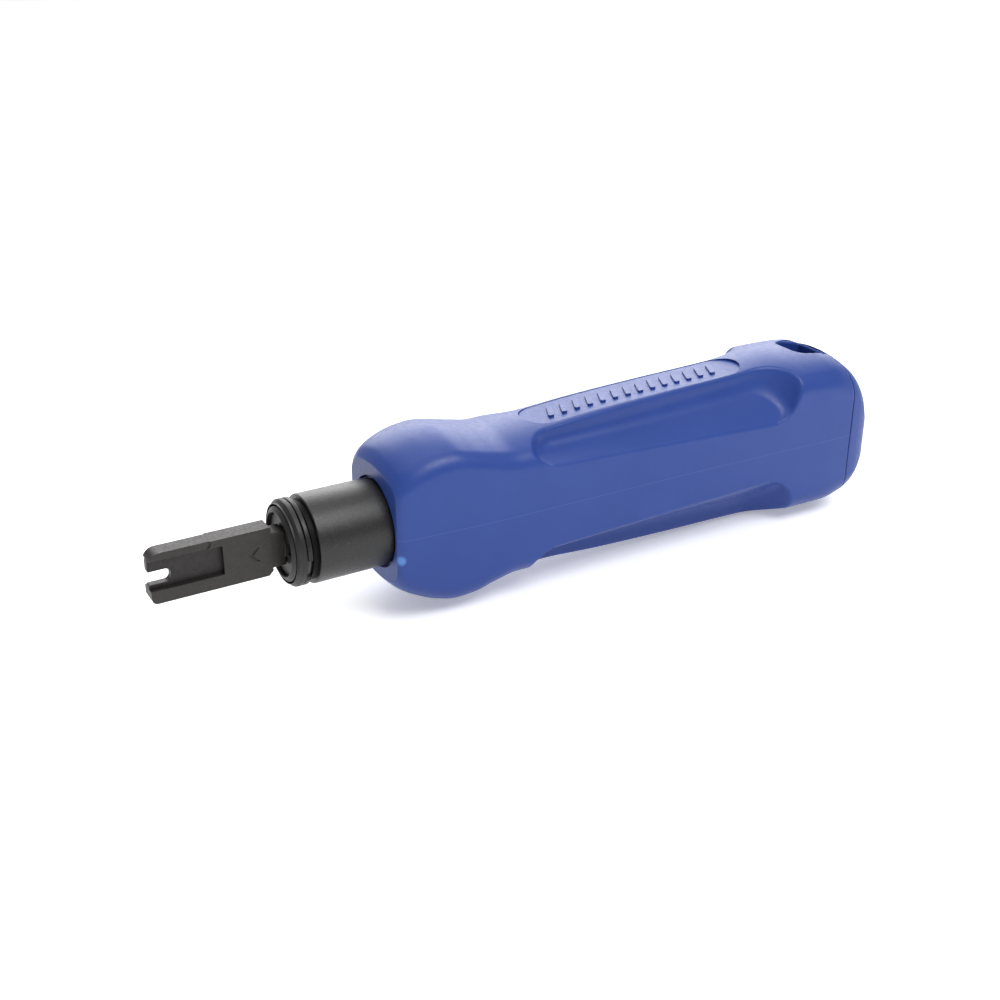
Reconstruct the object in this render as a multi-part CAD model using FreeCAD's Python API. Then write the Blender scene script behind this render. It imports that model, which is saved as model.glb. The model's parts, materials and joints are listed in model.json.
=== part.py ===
import FreeCAD, Part
import math
import os

# Punch down tool: a moulded handle with a spring-driven hammer inside, a round nose, and a
# twist-lock blade.  Millimetres.  The tool axis is X: the blade points to -X, the end cap is at +X,
# +Z is up, and x = 0 is the handle's front face.

Vector = FreeCAD.Vector
AXIS = Vector(1, 0, 0)

# --- handle -------------------------------------------------------------------------------------
HANDLE_LENGTH = 133.0
REACH = 30.0              # farther out than any part of the handle
SEAM_X = 127.0            # joint between the handle body and its end cap
SEAM_GAP = 0.15
CROWN_R = 30.0            # radius of the crowned top and bottom faces
BARREL_BORE_R = 9.6
MOUTH_R = 10.5            # relief at the mouth of the bore
MOUTH_DEPTH = 1.5
BORE_END_X = 108.0
# Stations along the handle: place, half width, height above the axis, depth below it, and the radius of
# the upper and lower corners.
STATIONS = [
    (0.0, 11.2, 13.7, 12.9, 5.2, 5.2),
    (0.7, 12.0, 14.7, 13.8, 5.2, 5.2),
    (2.2, 12.5, 16.2, 15.3, 5.1, 5.1),
    (6.0, 12.9, 18.2, 17.6, 5.0, 5.0),
    (10.0, 13.1, 19.3, 19.3, 4.8, 4.8),
    (14.5, 13.4, 19.7, 20.3, 4.6, 4.6),
    (19.0, 13.7, 19.0, 20.0, 4.6, 4.6),
    (24.0, 13.9, 17.9, 18.7, 4.8, 4.8),
    (30.0, 14.1, 16.9, 17.6, 5.0, 5.0),
    (40.0, 14.2, 17.2, 17.7, 5.0, 5.0),
    (55.0, 14.3, 18.2, 18.7, 5.0, 5.0),
    (75.0, 14.6, 19.0, 19.6, 5.0, 5.0),
    (95.0, 15.1, 19.6, 20.2, 5.0, 5.0),
    (112.0, 15.6, 21.1, 20.8, 5.2, 5.2),
    (121.0, 15.9, 20.9, 20.9, 6.2, 5.4),
    (127.0, 15.9, 18.9, 19.8, 8.2, 6.2),
    (129.5, 15.7, 17.3, 18.6, 8.6, 6.4),
    (131.5, 15.2, 14.9, 16.8, 8.6, 6.2),
    (133.0, 14.5, 11.4, 14.2, 8.4, 5.8),
]

# --- grip hollows: four corner flutes and the label pocket --------------------------------------
FLUTE_R = 7.6             # radius of the scooping tool
FLUTE_X = (33.7, 109.3)
FLUTE_REACH = 5.5         # half width of the hollow, where its edges meet the flat faces
FLUTE_CENTRE_Y = (14.8, 15.6)     # scoop centre at the front and at the rear of the flute
FLUTE_CENTRE_Z = (15.8, 18.0)
POCKET_X = (38.0, 100.4)
POCKET_WIDTH = 11.0
POCKET_DEPTH = 0.6
RIB_COUNT = 14
RIB_PITCH = 3.6
RIB_SIZE = (1.5, 5.2)
RIB_SLANT = 1.2
RIB_HEIGHT = 0.45
RIB_ROOT = 1.0            # how far a bar reaches down into the handle
CUT_CLEAR = 5.0           # how far a cutting tool stands out past the surface it cuts

# --- lanyard slot through the rear of the handle ------------------------------------------------
SLOT_X = (116.5, 126.0)
SLOT_HALF_WIDTH = 5.3
SLOT_CORNER_R = 3.5
PEG_R = 1.9
PEG_Y = 11.5
PEG_X = (121.0, 131.0)

# --- nose ---------------------------------------------------------------------------------------
BARREL_R = 10.0
BARREL_FRONT_X = -17.04
SLEEVE_REAR_X = 20.0
SLEEVE_R = 8.9
PLUNGER_R = 7.0
RUNNING = 0.05            # radial clearance of a sliding fit
SLIP = 0.03               # radial clearance of a fixed piece in its hole
RING_R = 9.75
RING_FRONT_X = -22.7
RING_REAR_X = -20.0
RING_RIM_R = 7.7
RING_CHAMFER_END_X = -21.1
RING_STEP_X = -22.1       # where the ring's hole steps out over the sleeve
RING_BORE_R = 7.15
CLIP_X = (-19.8, -18.7)
CLIP_GROOVE_X = (-20.0, -18.3)
CLIP_GROOVE_R = 8.3
CLIP_R = 9.75
CLIP_GAP_ANGLE = 201.0    # middle of the clip's gap, seen from the blade end, from +Y towards +Z
CLIP_GAP_WIDTH = 5.7

# --- blade --------------------------------------------------------------------------------------
BLADE_TIP_X = -51.5
BLADE_BACK_X = -25.0
BLADE_WIDTH = 11.3
BLADE_THICK = 4.5
BLADE_CHAMFER = 0.9
TIP_CHAMFER = (1.0, 0.8)  # upper tip corner: cut-back along X and down
TIP_SLOPE = (3.0, 2.6)    # second, longer facet of the same corner
CHANNEL_DEPTH = 1.4
CHANNEL_END_X = -35.7
CHANNEL_Z = (-2.7, 4.0)
SLOT_Z = (-1.7, 1.3)
TIP_SLOT_DEPTH = 4.8
MARK_X = -30.0
MARK_REACH = 1.6
MARK_WIDTH = 0.7
MARK_DEPTH = 0.3
NECK_HALF_HEIGHT = 4.2
SHANK_R = 3.0
SHANK_END_X = -4.0
SHANK_ROOT = 0.5          # how far the shank starts inside the neck
LUG_X = (-8.5, -6.5)
LUG_R = 4.4
LUG_WIDTH = 2.4
LUG_PLAY = 0.2            # room round the lugs in the socket
SOCKET_END_GAP = 0.5      # room behind the shank
HOLDER_FRONT_X = -21.7
DETENT_X = -13.0
BALL_R = 0.88
BALL_HOLE_R = 0.95
BALL_HOLE_DEPTH = 0.5     # how far the ball's hole reaches in past the socket wall
BALL_CENTRE_R = 3.3       # ball centre from the tool axis
DETENT_SPRING = (4.2, 5.6)        # radii between which the detent spring sits
DETENT_SPRING_R = 0.62
DETENT_SPRING_WIRE_R = 0.15
DETENT_SCREW_SUNK = 0.2
DRIVER_SLOT = (0.3, 0.35)         # width and depth

# --- hammer mechanism ---------------------------------------------------------------------------
STROKE = 10.0
LATCH_DROP = 2.0
RAMP = LATCH_DROP / STROKE
TUBE_R = 9.58
TUBE_BORE_R = 9.0
FLANGE_X = (20.05, 23.0)
FLANGE_R = 8.6
BOSS_END_X = 26.0
BOSS_R = 4.5
STEM_R = 2.0
STEM_X = (12.0, 50.0)
STEM_CHAMFER = 0.3
STEM_END_GAP = 1.0        # room past the stem's end at full stroke
STEM_PIN_R = 0.8
HAMMER_X = (37.0, 72.0)
HAMMER_R = 6.9
HAMMER_FLANGE_END_X = 75.5
HAMMER_FLANGE_R = 8.95
HAMMER_BOSS_END_X = 81.0
HAMMER_BOSS_R = 5.6
LATCH_X = (50.0, 56.0)
LATCH_HALF_WIDTH = 3.2
LATCH_DOME_R = 6.7
LATCH_BOTTOM_Z = -2.4
LATCH_SKIRT_Z = 2.5       # below this height the latch is a plain block
LATCH_FLOOR_Z = -4.5
LATCH_HOLE_PLAY = 0.1
LATCH_SPRING_Z = -6.1     # bottom of the latch spring's hole
LATCH_SPRING_HOLE_R = 1.5
LATCH_SPRING_R = 1.0
LATCH_SPRING_WIRE_R = 0.2
SEAT_FRONT_X = 103.0
SEAT_BOSS_X = 98.0
SEAT_PIN_R = 1.3
SEAT_PIN_X = 105.6
TUBE_END_X = 107.9
PIN_SHORT = 0.4           # how much shorter a cross pin is than the hole it sits in
MAIN_SPRING_R = 7.2
MAIN_SPRING_WIRE_R = 0.8
RETURN_SPRING_R = 5.4
RETURN_SPRING_WIRE_R = 0.45
SPRING_GAP = 0.1          # slack at a spring's seat


def cylinder(x0, x1, radius):
    return Part.makeCylinder(radius, x1 - x0, Vector(x0, 0, 0), AXIS)


def ring(x0, x1, outer, inner):
    return cylinder(x0, x1, outer).cut(cylinder(x0, x1, inner))


def block(x_range, y_range, z_range):
    low = Vector(x_range[0], y_range[0], z_range[0])
    size = [r[1] - r[0] for r in (x_range, y_range, z_range)]
    return Part.makeBox(*size, low)


def turned(outline):
    """A solid turned about the tool axis from (x, radius) corners."""
    points = [Vector(x, 0, r) for x, r in outline]
    points.append(points[0])
    return Part.Face(Part.makePolygon(points)).revolve(Vector(0, 0, 0), AXIS, 360)


def spring_envelope(x0, x1, mean_r, wire_r):
    """The space a coil spring takes on the tool axis: a plain tube as thick as its wire."""
    return ring(x0 + SPRING_GAP, x1 - SPRING_GAP, mean_r + wire_r, mean_r - wire_r)


def handle_section(x, half_width, height, depth, upper_r, lower_r):
    """A rounded box with flat sides and a crowned top and bottom, every arc tangent to the next."""

    def corner(side_z):
        """Corner radius, centre and turn of the upper or the lower corners."""
        top, radius = (height, upper_r) if side_z > 0 else (depth, lower_r)
        centre_y = half_width - radius
        drop = CROWN_R - math.sqrt((CROWN_R - radius) ** 2 - centre_y ** 2)
        return radius, centre_y, top - drop, math.atan2(CROWN_R - drop, centre_y)

    def on_corner(share, side_y, side_z):
        radius, centre_y, centre_z, tilt = corner(side_z)
        y = centre_y + radius * math.cos(share * tilt)
        z = centre_z + radius * math.sin(share * tilt)
        return Vector(x, side_y * y, side_z * z)

    def corner_arc(side_y, side_z):
        arc = [on_corner(share, side_y, side_z) for share in (0, 0.5, 1)]
        if side_y * side_z < 0:
            arc.reverse()
        return Part.Arc(*arc).toShape()

    def crown(side_z, top):
        ends = [on_corner(1, side_y, side_z) for side_y in (side_z, -side_z)]
        return Part.Arc(ends[0], Vector(x, 0, side_z * top), ends[1]).toShape()

    def side(side_y):
        ends = [on_corner(0, side_y, side_z) for side_z in (-side_y, side_y)]
        return Part.LineSegment(*ends).toShape()

    return Part.Wire([
        corner_arc(1, 1), crown(1, height), corner_arc(-1, 1), side(-1),
        corner_arc(-1, -1), crown(-1, depth), corner_arc(1, -1), side(1),
    ])


def handle_form():
    return Part.makeLoft([handle_section(*s) for s in STATIONS], True, False)


def flute_cutter(side_y, side_z):
    """A long scoop with round ends that hollows one corner of the grip."""
    ends = []
    for i, inward in ((0, FLUTE_REACH), (1, -FLUTE_REACH)):
        ends.append(Vector(FLUTE_X[i] + inward, side_y * FLUTE_CENTRE_Y[i], side_z * FLUTE_CENTRE_Z[i]))
    run = ends[1] - ends[0]
    scoop = Part.makeCylinder(FLUTE_R, run.Length, ends[0], run)
    for place in ends:
        scoop = scoop.fuse(Part.makeSphere(FLUTE_R, place))
    return scoop


def rounded_slot(x_range, half_width, corner_r, z_range):
    """An upright slot with two rounded corners on its front side and a square rear."""
    x0, x1 = x_range
    slot = block((x0 + corner_r, x1), (-half_width, half_width), z_range)
    inner = half_width - corner_r
    slot = slot.fuse(block((x0, x1), (-inner, inner), z_range))
    for side in (-1, 1):
        corner = Vector(x0 + corner_r, side * inner, z_range[0])
        slot = slot.fuse(Part.makeCylinder(corner_r, z_range[1] - z_range[0], corner))
    return slot.removeSplitter()


def pocket_floor_z(x):
    """Height of the label pocket's floor, a set depth under the crown line."""
    stations = [s for s in STATIONS if s[0] <= x]
    low = stations[-1]
    high = STATIONS[len(stations)]
    share = (x - low[0]) / (high[0] - low[0])
    return low[2] + share * (high[2] - low[2]) - POCKET_DEPTH


def label_pocket():
    """A shallow round-ended pocket along the top face that follows its slope."""
    half = POCKET_WIDTH / 2
    x0, x1 = POCKET_X
    rise = pocket_floor_z(x1) - pocket_floor_z(x0)
    slope = math.degrees(math.atan2(rise, x1 - x0))
    cutter = block((x0 + half, x1 - half), (-half, half), (0, CUT_CLEAR))
    for x in (x0 + half, x1 - half):
        cutter = cutter.fuse(Part.makeCylinder(half, CUT_CLEAR, Vector(x, 0, 0)))
    cutter = cutter.removeSplitter()
    cutter.rotate(Vector(x0, 0, 0), Vector(0, 1, 0), -slope)
    cutter.translate(Vector(0, 0, pocket_floor_z(x0)))
    return cutter


def label_ribs():
    """Slanted raised bars on the pocket floor."""
    bars = []
    middle = sum(POCKET_X) / 2
    for i in range(RIB_COUNT):
        x = middle + (i - (RIB_COUNT - 1) / 2) * RIB_PITCH
        floor = pocket_floor_z(x)
        half_x, half_y = RIB_SIZE[0] / 2, RIB_SIZE[1] / 2
        corners = [(-half_x - RIB_SLANT, -half_y), (half_x - RIB_SLANT, -half_y),
                   (half_x + RIB_SLANT, half_y), (-half_x + RIB_SLANT, half_y)]
        points = [Vector(x + dx, dy, floor - RIB_ROOT) for dx, dy in corners]
        points.append(points[0])
        bars.append(Part.Face(Part.makePolygon(points)).extrude(Vector(0, 0, RIB_ROOT + RIB_HEIGHT)))
    return bars


def make_handle_body(form):
    body = form.common(block((-1, SEAM_X), (-REACH, REACH), (-REACH, REACH)))
    for side_y in (-1, 1):
        for side_z in (-1, 1):
            body = body.cut(flute_cutter(side_y, side_z))
    body = body.cut(label_pocket())
    for bar in label_ribs():
        body = body.fuse(bar)
    body = body.cut(cylinder(-1, BORE_END_X, BARREL_BORE_R))
    body = body.cut(cylinder(-1, MOUTH_DEPTH, MOUTH_R))
    body = body.cut(rounded_slot(SLOT_X, SLOT_HALF_WIDTH, SLOT_CORNER_R, (-REACH, REACH)))
    for peg in cap_pegs():
        body = body.cut(peg)
    return body


def cap_pegs():
    """Two round pegs that hold the end cap, one each side of the lanyard slot."""
    pegs = []
    for side in (-1, 1):
        start = Vector(PEG_X[0], side * PEG_Y, 0)
        pegs.append(Part.makeCylinder(PEG_R, PEG_X[1] - PEG_X[0], start, AXIS))
    return pegs


def make_end_cap(form):
    cap = form.common(block((SEAM_X + SEAM_GAP, HANDLE_LENGTH + 1), (-REACH, REACH), (-REACH, REACH)))
    for peg in cap_pegs():
        cap = cap.cut(peg)
    return cap


def make_nose_barrel():
    barrel = ring(BARREL_FRONT_X, 0, BARREL_R, SLEEVE_R)
    return barrel.fuse(ring(0, SLEEVE_REAR_X, BARREL_BORE_R, SLEEVE_R))


def make_guide_sleeve():
    """The grey liner that guides the blade holder, with a groove outside for the clip."""
    sleeve = ring(RING_STEP_X, SLEEVE_REAR_X, SLEEVE_R, PLUNGER_R + RUNNING)
    return sleeve.cut(ring(*CLIP_GROOVE_X, RING_R, CLIP_GROOVE_R))


def make_nose_ring():
    return turned([
        (RING_FRONT_X, RING_BORE_R), (RING_FRONT_X, RING_RIM_R),
        (RING_CHAMFER_END_X, RING_R), (RING_REAR_X, RING_R), (RING_REAR_X, SLEEVE_R),
        (RING_STEP_X, SLEEVE_R), (RING_STEP_X, RING_BORE_R),
    ])


def make_split_clip():
    clip = ring(CLIP_X[0], CLIP_X[1], CLIP_R, CLIP_GROOVE_R + SLIP)
    half_gap = CLIP_GAP_WIDTH / 2
    gap = block(CLIP_X, (0, BARREL_R), (-half_gap, half_gap))
    gap.rotate(Vector(0, 0, 0), AXIS, CLIP_GAP_ANGLE)
    return clip.cut(gap)


def make_mechanism_tube():
    tube = ring(SLEEVE_REAR_X, TUBE_END_X, TUBE_R, TUBE_BORE_R)
    return tube.cut(seat_pin(SEAT_PIN_R + SLIP))


def make_release_cam():
    """A ring fixed in the tube: its cone pushes the latch down, its bore guides the hammer."""
    cone_end = LATCH_X[0] + STROKE
    return turned([
        (LATCH_X[0], TUBE_BORE_R), (cone_end, TUBE_BORE_R - LATCH_DROP),
        (cone_end, HAMMER_R + RUNNING), (HAMMER_X[1], HAMMER_R + RUNNING), (HAMMER_X[1], TUBE_BORE_R),
    ])


def seat_pin(radius):
    length = 2 * TUBE_R - PIN_SHORT
    start = Vector(SEAT_PIN_X, -length / 2, 0)
    return Part.makeCylinder(radius, length, start, Vector(0, 1, 0))


def make_spring_seat():
    seat = cylinder(SEAT_FRONT_X, TUBE_END_X, TUBE_BORE_R - SLIP)
    seat = seat.fuse(cylinder(SEAT_BOSS_X, SEAT_FRONT_X, HAMMER_BOSS_R))
    return seat.cut(seat_pin(SEAT_PIN_R + SLIP))


def make_blade_holder():
    """The plunger: a long round guide, a flange that stops it, and a twist-lock socket in front."""
    holder = cylinder(HOLDER_FRONT_X, FLANGE_X[0], PLUNGER_R)
    holder = holder.fuse(cylinder(FLANGE_X[0], FLANGE_X[1], FLANGE_R))
    holder = holder.fuse(cylinder(FLANGE_X[1], BOSS_END_X, BOSS_R))
    holder = holder.cut(cylinder(HOLDER_FRONT_X, SHANK_END_X + SOCKET_END_GAP, SHANK_R + RUNNING))
    key_reach = LUG_R + LUG_PLAY
    key_half = (LUG_WIDTH + LUG_PLAY) / 2
    holder = holder.cut(block((HOLDER_FRONT_X, LUG_X[1]), (-key_reach, key_reach), (-key_half, key_half)))
    holder = holder.cut(cylinder(LUG_X[0] - RUNNING, LUG_X[1] + LUG_PLAY, key_reach))
    holder = holder.cut(cylinder(STEM_X[0], BOSS_END_X, STEM_R + SLIP))
    holder = holder.cut(detent_hole())
    return holder.cut(stem_pin(STEM_PIN_R + SLIP))


def detent_hole():
    start = Vector(DETENT_X, 0, BALL_HOLE_DEPTH - SHANK_R)
    return Part.makeCylinder(BALL_HOLE_R, PLUNGER_R, start, Vector(0, 0, -1))


def make_detent_ball():
    return Part.makeSphere(BALL_R, Vector(DETENT_X, 0, -BALL_CENTRE_R))


def make_detent_spring():
    """The short spring that presses the ball on the shank."""
    length = DETENT_SPRING[1] - DETENT_SPRING[0]
    spring = spring_envelope(0, length, DETENT_SPRING_R, DETENT_SPRING_WIRE_R)
    spring.rotate(Vector(0, 0, 0), Vector(0, 1, 0), 90)
    spring.translate(Vector(DETENT_X, 0, -DETENT_SPRING[0]))
    return spring


def make_detent_screw():
    outer = PLUNGER_R - DETENT_SCREW_SUNK
    start = Vector(DETENT_X, 0, -DETENT_SPRING[1])
    screw = Part.makeCylinder(BALL_HOLE_R, outer - DETENT_SPRING[1], start, Vector(0, 0, -1))
    width, depth = DRIVER_SLOT
    slot = block((DETENT_X - BALL_R * 2, DETENT_X + BALL_R * 2), (-width / 2, width / 2),
                 (-PLUNGER_R, depth - outer))
    return screw.cut(slot)


def stem_pin(radius):
    x = sum(FLANGE_X) / 2
    length = 2 * (FLANGE_R - PIN_SHORT)
    return Part.makeCylinder(radius, length, Vector(x, 0, -length / 2))


def make_plunger_stem():
    tip_x = STEM_X[1] - STEM_CHAMFER
    stem = cylinder(STEM_X[0], tip_x, STEM_R)
    tip = Part.makeCone(STEM_R, STEM_R - STEM_CHAMFER, STEM_CHAMFER, Vector(tip_x, 0, 0), AXIS)
    return stem.fuse(tip).cut(stem_pin(STEM_PIN_R + SLIP))


def latch_pocket():
    """The pocket across the hammer: flat front and rear, open at the top."""
    return block(LATCH_X, (-LATCH_HALF_WIDTH, LATCH_HALF_WIDTH), (LATCH_FLOOR_Z, HAMMER_FLANGE_R))


def make_hammer():
    hammer = cylinder(HAMMER_X[0], HAMMER_X[1] + RUNNING, HAMMER_R)
    hammer = hammer.fuse(cylinder(HAMMER_X[1] + RUNNING, HAMMER_FLANGE_END_X, HAMMER_FLANGE_R))
    hammer = hammer.fuse(cylinder(HAMMER_FLANGE_END_X, HAMMER_BOSS_END_X, HAMMER_BOSS_R))
    hammer = hammer.cut(cylinder(HAMMER_X[0], LATCH_X[1] + STROKE + STEM_END_GAP, STEM_R + RUNNING))
    hammer = hammer.cut(latch_pocket())
    hole_start = Vector(sum(LATCH_X) / 2, 0, LATCH_SPRING_Z)
    hole_depth = LATCH_FLOOR_Z - LATCH_SPRING_Z
    return hammer.cut(Part.makeCylinder(LATCH_SPRING_HOLE_R, hole_depth, hole_start))


def make_hammer_latch():
    """A domed block that slides in the hammer; its hole lines up with the stem only when pushed down."""
    side = LATCH_HALF_WIDTH - RUNNING
    ends = (LATCH_X[0] + RUNNING, LATCH_X[1] - RUNNING)
    latch = block(ends, (-side, side), (LATCH_BOTTOM_Z, TUBE_BORE_R))
    top = TUBE_BORE_R - 2 * RUNNING
    length = LATCH_X[1] - LATCH_X[0] + 2 * CUT_CLEAR
    start_x = LATCH_X[0] - CUT_CLEAR
    dome_start = Vector(start_x, 0, top + CUT_CLEAR * RAMP - LATCH_DOME_R)
    dome_r = LATCH_DOME_R * math.cos(math.atan(RAMP))
    dome = Part.makeCylinder(dome_r, length, dome_start, Vector(1, 0, -RAMP))
    skirt = block(ends, (-side, side), (LATCH_BOTTOM_Z, LATCH_SKIRT_Z))
    latch = latch.common(dome.fuse(skirt))
    hole_start = Vector(start_x, 0, LATCH_DROP)
    return latch.cut(Part.makeCylinder(STEM_R + LATCH_HOLE_PLAY, length, hole_start, AXIS))


def make_latch_spring():
    length = LATCH_BOTTOM_Z - LATCH_SPRING_Z
    spring = spring_envelope(0, length, LATCH_SPRING_R, LATCH_SPRING_WIRE_R)
    spring.rotate(Vector(0, 0, 0), Vector(0, 1, 0), -90)
    spring.translate(Vector(sum(LATCH_X) / 2, 0, LATCH_SPRING_Z))
    return spring


def blade_plate():
    """The flat plate, seen from the side, with its chamfered corners."""
    half_w = BLADE_WIDTH / 2
    tip, back, cut = BLADE_TIP_X, BLADE_BACK_X, BLADE_CHAMFER
    corners = [
        (tip, cut - half_w), (tip + cut, -half_w), (back - cut, -half_w), (back, cut - half_w),
        (back, half_w), (tip + TIP_SLOPE[0], half_w), (tip + TIP_CHAMFER[0], half_w - TIP_CHAMFER[1]),
        (tip, half_w - TIP_SLOPE[1]),
    ]
    points = [Vector(x, -BLADE_THICK / 2, z) for x, z in corners]
    points.append(points[0])
    return Part.Face(Part.makePolygon(points)).extrude(Vector(0, BLADE_THICK, 0))


def tip_slot():
    """The wire slot in the tip, with a round bottom."""
    middle = sum(SLOT_Z) / 2
    half_slot = (SLOT_Z[1] - SLOT_Z[0]) / 2
    bottom = BLADE_TIP_X + TIP_SLOT_DEPTH - half_slot
    slot = block((BLADE_TIP_X, bottom), (-BLADE_THICK, BLADE_THICK), SLOT_Z)
    start = Vector(bottom, -BLADE_THICK, middle)
    return slot.fuse(Part.makeCylinder(half_slot, 2 * BLADE_THICK, start, Vector(0, 1, 0)))


def twist_lugs():
    """Two lugs on the shank that lock it when it is turned."""
    lugs = block(LUG_X, (-LUG_WIDTH / 2, LUG_WIDTH / 2), (-LUG_R, LUG_R))
    return lugs.common(cylinder(LUG_X[0], LUG_X[1], LUG_R))


def engraved_mark():
    """A small plain chevron cut in the near face."""
    x, half_t = MARK_X, BLADE_THICK / 2
    arm = MARK_REACH + MARK_WIDTH
    outline = [(x, 0), (x + MARK_REACH, MARK_REACH), (x + arm, MARK_REACH), (x + MARK_WIDTH, 0),
               (x + arm, -MARK_REACH), (x + MARK_REACH, -MARK_REACH)]
    points = [Vector(px, -half_t, pz) for px, pz in outline]
    points.append(points[0])
    return Part.Face(Part.makePolygon(points)).extrude(Vector(0, MARK_DEPTH, 0))


def make_punch_blade():
    """The flat blade with its slotted tip and channel, a neck, and the round twist-lock shank."""
    half_t = BLADE_THICK / 2
    blade = blade_plate()
    for side in (-1, 1):
        faces = sorted((side * half_t, side * (half_t - CHANNEL_DEPTH)))
        blade = blade.cut(block((BLADE_TIP_X, CHANNEL_END_X), faces, CHANNEL_Z))
    blade = blade.cut(tip_slot())
    blade = blade.cut(engraved_mark())
    neck_x = (BLADE_BACK_X - RUNNING, HOLDER_FRONT_X - 2 * RUNNING)
    neck_z = (-NECK_HALF_HEIGHT, NECK_HALF_HEIGHT)
    blade = blade.fuse(block(neck_x, (-half_t, half_t), neck_z))
    blade = blade.fuse(cylinder(neck_x[1] - SHANK_ROOT, SHANK_END_X, SHANK_R))
    blade = blade.fuse(twist_lugs())
    groove = Part.makeTorus(BALL_CENTRE_R, BALL_R + RUNNING, Vector(DETENT_X, 0, 0), AXIS)
    return blade.cut(groove)


def make_main_spring():
    return spring_envelope(HAMMER_FLANGE_END_X, SEAT_FRONT_X, MAIN_SPRING_R, MAIN_SPRING_WIRE_R)


def make_return_spring():
    return spring_envelope(FLANGE_X[1], HAMMER_X[0], RETURN_SPRING_R, RETURN_SPRING_WIRE_R)


form = handle_form()
left_peg, right_peg = cap_pegs()
parts = {
    "handle_body": make_handle_body(form),
    "end_cap": make_end_cap(form),
    "cap_peg_left": left_peg,
    "cap_peg_right": right_peg,
    "nose_barrel": make_nose_barrel(),
    "guide_sleeve": make_guide_sleeve(),
    "nose_ring": make_nose_ring(),
    "split_retaining_clip": make_split_clip(),
    "mechanism_tube": make_mechanism_tube(),
    "release_cam": make_release_cam(),
    "rear_spring_seat": make_spring_seat(),
    "seat_cross_pin": seat_pin(SEAT_PIN_R),
    "main_spring": make_main_spring(),
    "blade_holder": make_blade_holder(),
    "plunger_stem": make_plunger_stem(),
    "stem_cross_pin": stem_pin(STEM_PIN_R),
    "detent_ball": make_detent_ball(),
    "detent_spring": make_detent_spring(),
    "detent_screw": make_detent_screw(),
    "return_spring": make_return_spring(),
    "punch_blade": make_punch_blade(),
    "hammer": make_hammer(),
    "hammer_latch": make_hammer_latch(),
    "latch_spring": make_latch_spring(),
}
os.makedirs("parts", exist_ok=True)
for name, shape in parts.items():
    shape = shape.removeSplitter()
    shape.exportStep("parts/" + name + ".step")
    box = shape.BoundBox
    print(name, len(shape.Solids), shape.isValid(), round(shape.Volume, 1),
          [round(v, 2) for v in (box.XMin, box.XMax, box.YMin, box.YMax, box.ZMin, box.ZMax)])
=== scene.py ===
import json
import math

import bmesh
import bpy
import numpy as np
from mathutils import Matrix, Vector


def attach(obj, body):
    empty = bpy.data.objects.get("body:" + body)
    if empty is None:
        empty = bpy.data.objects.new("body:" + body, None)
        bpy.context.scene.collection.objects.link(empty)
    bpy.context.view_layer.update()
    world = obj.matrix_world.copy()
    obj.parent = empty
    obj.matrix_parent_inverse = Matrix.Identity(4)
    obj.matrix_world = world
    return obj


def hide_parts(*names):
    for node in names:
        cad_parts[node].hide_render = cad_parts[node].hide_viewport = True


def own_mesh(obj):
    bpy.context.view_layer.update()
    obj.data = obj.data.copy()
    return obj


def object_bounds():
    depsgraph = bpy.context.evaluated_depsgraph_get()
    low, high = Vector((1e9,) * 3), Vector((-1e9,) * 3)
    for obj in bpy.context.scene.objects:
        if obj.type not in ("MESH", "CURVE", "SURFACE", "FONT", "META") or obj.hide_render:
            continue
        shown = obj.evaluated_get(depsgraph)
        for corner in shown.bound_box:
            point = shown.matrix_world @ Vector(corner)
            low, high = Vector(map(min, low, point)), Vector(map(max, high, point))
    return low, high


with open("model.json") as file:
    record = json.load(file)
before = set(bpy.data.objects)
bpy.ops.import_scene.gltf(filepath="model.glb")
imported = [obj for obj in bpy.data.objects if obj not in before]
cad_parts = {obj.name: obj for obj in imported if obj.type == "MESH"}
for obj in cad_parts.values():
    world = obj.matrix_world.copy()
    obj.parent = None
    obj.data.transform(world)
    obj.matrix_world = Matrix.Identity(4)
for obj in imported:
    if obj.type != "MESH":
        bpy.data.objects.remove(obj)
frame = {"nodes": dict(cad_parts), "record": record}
CAD_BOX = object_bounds()

# Lengths are millimetres in the CAD frame until a mesh is made: the tool axis is X, the blade points
# to -X, the end cap is at +X, and x = 0 is the handle's front face.
MM = 0.001
MERGE_DISTANCE = 1e-7        # metres

# Faces that meet under these angles, in degrees, are shaded as one surface.
FORM_SMOOTH = 40.0
PART_SMOOTH = 35.0
FINE_SMOOTH = 50.0

ARC_STEPS = 6                # flats in a rounded corner
TURN_STEPS = 160             # flats round a turned part
FULL_TURN = (0.0, 360.0)


# ------------------------------------------------------------------------------------------------
# Mesh helpers
# ------------------------------------------------------------------------------------------------

def add_mesh(name, points, faces, smooth_angle=FORM_SMOOTH):
    """A mesh object from millimetre points, smooth where faces meet under smooth_angle degrees."""
    mesh = bpy.data.meshes.new(name)
    mesh.from_pydata([[c * MM for c in p] for p in points], [], faces)
    mesh.validate()
    piece = bpy.data.objects.new(name, mesh)
    bpy.context.scene.collection.objects.link(piece)
    shade(piece, smooth_angle)
    return piece


def shade(piece, smooth_angle):
    """Welds the mesh, turns its faces outwards and marks the edges that stay sharp."""
    bm = bmesh.new()
    bm.from_mesh(piece.data)
    bmesh.ops.remove_doubles(bm, verts=bm.verts, dist=MERGE_DISTANCE)
    bmesh.ops.recalc_face_normals(bm, faces=bm.faces)
    bm.to_mesh(piece.data)
    bm.free()
    for polygon in piece.data.polygons:
        polygon.use_smooth = True
    piece.data.set_sharp_from_angle(angle=math.radians(smooth_angle))


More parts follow.
